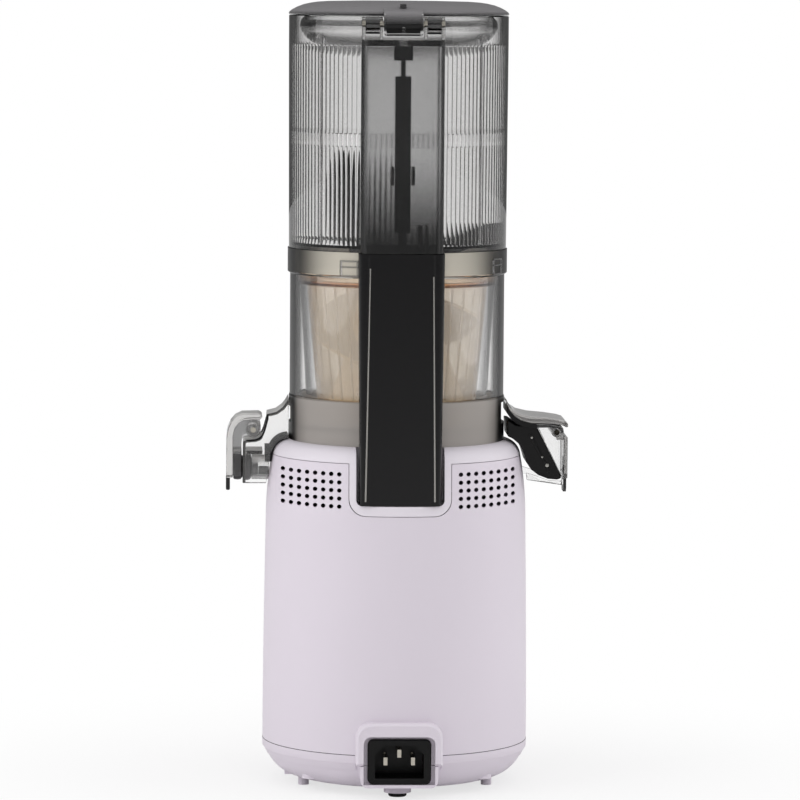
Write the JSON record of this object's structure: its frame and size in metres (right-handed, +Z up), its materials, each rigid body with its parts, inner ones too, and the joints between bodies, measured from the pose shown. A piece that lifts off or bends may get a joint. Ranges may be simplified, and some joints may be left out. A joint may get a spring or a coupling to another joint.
{
  "type": "cold press juicer",
  "caption": "Upright slow juicer: lift-off juicing chamber with auger and strainer, clear fluted hopper with hinged lid, safety rod, capped juice spout and pulp spout on a round base.",
  "frame": {"origin": "on the table, on the upright axis shared by motor, gears, auger and hopper", "axes": "+Z up; the rear, with inlet, safety rod and lid hinge, faces +Y; the juice spout is on +X and the pulp spout on -X"},
  "size_m": [0.177, 0.15, 0.407],
  "materials": {
    "housing_plastic": "fine satin moulding, pale lavender",
    "cover_plastic": "fine satin moulding, pale lavender",
    "foot_rubber": "moulded",
    "screw_steel": "zinc plated",
    "inlet_plastic": "black, glass filled",
    "pin_nickel": "nickel plated",
    "switch_plastic": "black",
    "knob_plastic": "satin",
    "board_laminate": "green solder mask",
    "bracket_alloy": "die cast",
    "lamination_steel": "stacked laminations",
    "coil_copper": "enamelled copper",
    "shaft_steel": "ground",
    "fan_plastic": "black",
    "gear_plastic": "acetal",
    "gearbox_plastic": "glass filled",
    "bush_bronze": "sintered bronze",
    "seal_rubber": "black",
    "bowl_clear": "clear, smoke tint, frosted band at the foot",
    "column_smoke": "dark smoke, glossy",
    "rod_plastic": "black",
    "spout_clear": "clear",
    "plug_silicone": "dark silicone",
    "flap_silicone": "black silicone",
    "tab_plastic": "black",
    "strainer_gold": "gold toned, slotted",
    "rim_gold": "gold toned",
    "auger_putty": "light grey, satin",
    "wing_black": "black",
    "hopper_clear": "clear, grey tint, fluted",
    "channel_smoke": "translucent smoke",
    "lid_smoke": "dark smoke",
    "dish_clear": "clear"
  },
  "bodies": {
    "base": {"main_housing": "housing_plastic", "top_cover": "cover_plastic", "base_plate": "housing_plastic", "rubber_feet": "foot_rubber", "base_screws": "screw_steel", "inlet_socket": "inlet_plastic", "inlet_pins": "pin_nickel", "rotary_switch": "switch_plastic", "control_board": "board_laminate", "interlock_switch": "switch_plastic", "motor_bracket_lower": "bracket_alloy", "motor_bracket_upper": "bracket_alloy", "motor_stator": "lamination_steel", "stator_windings": "coil_copper", "motor_bearings": "shaft_steel", "motor_bolts": "screw_steel", "motor_grommets": "seal_rubber", "gearbox_housing": "gearbox_plastic", "gearbox_cover": "gearbox_plastic", "gearbox_bushes": "bush_bronze", "drive_bearings": "shaft_steel", "shaft_seal": "seal_rubber"},
    "knob": {"control_knob": "knob_plastic"},
    "rotor": {"rotor_core": "lamination_steel", "rotor_shaft": "shaft_steel", "cooling_fan": "fan_plastic"},
    "layshaft_set": {"first_wheel": "gear_plastic", "layshaft": "shaft_steel"},
    "drive": {"output_gear": "gear_plastic", "drive_shaft": "shaft_steel"},
    "plunger": {"switch_plunger": "tab_plastic"},
    "chamber": {"juicing_bowl": "bowl_clear", "hub_packing": "plug_silicone", "rod_column": "column_smoke", "juice_spout": "spout_clear", "spout_packing": "flap_silicone", "cap_pin": "pin_nickel", "pulp_spout": "spout_clear", "pulp_flap": "flap_silicone", "door_pin": "pin_nickel", "strainer": "strainer_gold", "strainer_rim": "rim_gold"},
    "auger_set": {"auger": "auger_putty", "feeding_wing": "wing_black"},
    "lower_safety_rod": {"lower_rod": "rod_plastic"},
    "juice_cap": {"cap_lever": "spout_clear", "cap_plug": "plug_silicone"},
    "pulp_gate": {"pulp_door": "spout_clear", "door_tab": "tab_plastic"},
    "hopper_set": {"hopper": "hopper_clear", "rod_channel": "channel_smoke", "hinge_pin": "pin_nickel"},
    "upper_safety_rod": {"upper_rod": "rod_plastic"},
    "lid_set": {"lid": "lid_smoke", "lid_dish": "dish_clear"}
  },
  "joints": [
    {"name": "knob_turn", "type": "hinge", "parent": "base", "child": "knob", "pos_m": [0, -0.07, 0.09], "axis": [0, -1, 0], "range_deg": [-45, 45]},
    {"name": "drive_spin", "type": "hinge", "parent": "base", "child": "drive", "pos_m": [0, 0, 0.15], "axis": [0, 0, 1], "continuous": true},
    {"name": "layshaft_spin", "type": "hinge", "parent": "base", "child": "layshaft_set", "pos_m": [0, -0.03, 0.12], "axis": [0, 0, 1], "continuous": true},
    {"name": "rotor_spin", "type": "hinge", "parent": "base", "child": "rotor", "pos_m": [0, 0, 0.06], "axis": [0, 0, 1], "continuous": true},
    {"name": "plunger_slide", "type": "slide", "parent": "base", "child": "plunger", "axis": [0, 0, 1], "range_m": [0, 0.003]},
    {"name": "bowl_lift", "type": "slide", "parent": "base", "child": "chamber", "axis": [0, 0, 1], "range_m": [0, 0.06]},
    {"name": "auger_spin", "type": "hinge", "parent": "chamber", "child": "auger_set", "pos_m": [0, 0, 0.2], "axis": [0, 0, 1], "continuous": true},
    {"name": "lower_rod_slide", "type": "slide", "parent": "chamber", "child": "lower_safety_rod", "axis": [0, 0, 1], "range_m": [0, 0.003]},
    {"name": "juice_cap_swing", "type": "hinge", "parent": "chamber", "child": "juice_cap", "pos_m": [0.0745, 0, 0.1849], "axis": [0, -1, 0], "range_deg": [0, 75]},
    {"name": "pulp_door_swing", "type": "hinge", "parent": "chamber", "child": "pulp_gate", "pos_m": [-0.0826, 0, 0.1846], "axis": [0, 1, 0], "range_deg": [0, 40]},
    {"name": "hopper_turn", "type": "hinge", "parent": "chamber", "child": "hopper_set", "pos_m": [0, 0, 0.2795], "axis": [0, 0, 1], "range_deg": [0, 14]},
    {"name": "upper_rod_slide", "type": "slide", "parent": "hopper_set", "child": "upper_safety_rod", "axis": [0, 0, 1], "range_m": [0, 0.003]},
    {"name": "lid_hinge", "type": "hinge", "parent": "hopper_set", "child": "lid_set", "pos_m": [0, 0.061, 0.3952], "axis": [-1, 0, 0], "range_deg": [0, 110]}
  ],
  "couplings": [
    {"joint": "layshaft_spin", "follows": "drive_spin", "ratio": -5},
    {"joint": "rotor_spin", "follows": "drive_spin", "ratio": 25},
    {"joint": "auger_spin", "follows": "drive_spin", "ratio": 1},
    {"joint": "upper_rod_slide", "follows": "lid_hinge", "m_per_rad": 0.0015625},
    {"joint": "lower_rod_slide", "follows": "lid_hinge", "m_per_rad": 0.0015625},
    {"joint": "plunger_slide", "follows": "lid_hinge", "m_per_rad": 0.0015625}
  ]
}
